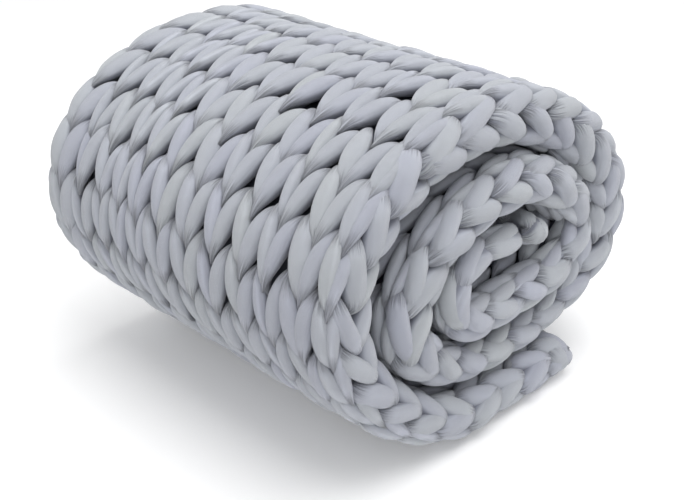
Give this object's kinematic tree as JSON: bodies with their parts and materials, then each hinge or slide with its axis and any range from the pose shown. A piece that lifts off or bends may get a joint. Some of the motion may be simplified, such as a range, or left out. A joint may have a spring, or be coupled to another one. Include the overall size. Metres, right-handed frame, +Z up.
{
  "type": "chunky knitted weighted blanket, rolled up",
  "caption": "Weighted blanket knitted from thick jersey tube, folded in half along its length and rolled up, with its free end flat underneath.",
  "frame": {"origin": "under the middle of the roll, on the surface that it stands on", "axes": "+Y along the roll, +X across it towards the free end, +Z up"},
  "size_m": [0.558, 0.548, 0.4202],
  "materials": {
    "jersey": "matt blue-grey cotton jersey tube, softly filled"
  },
  "bodies": {
    "root": {"rolled_blanket": "jersey"}
  },
  "joints": []
}
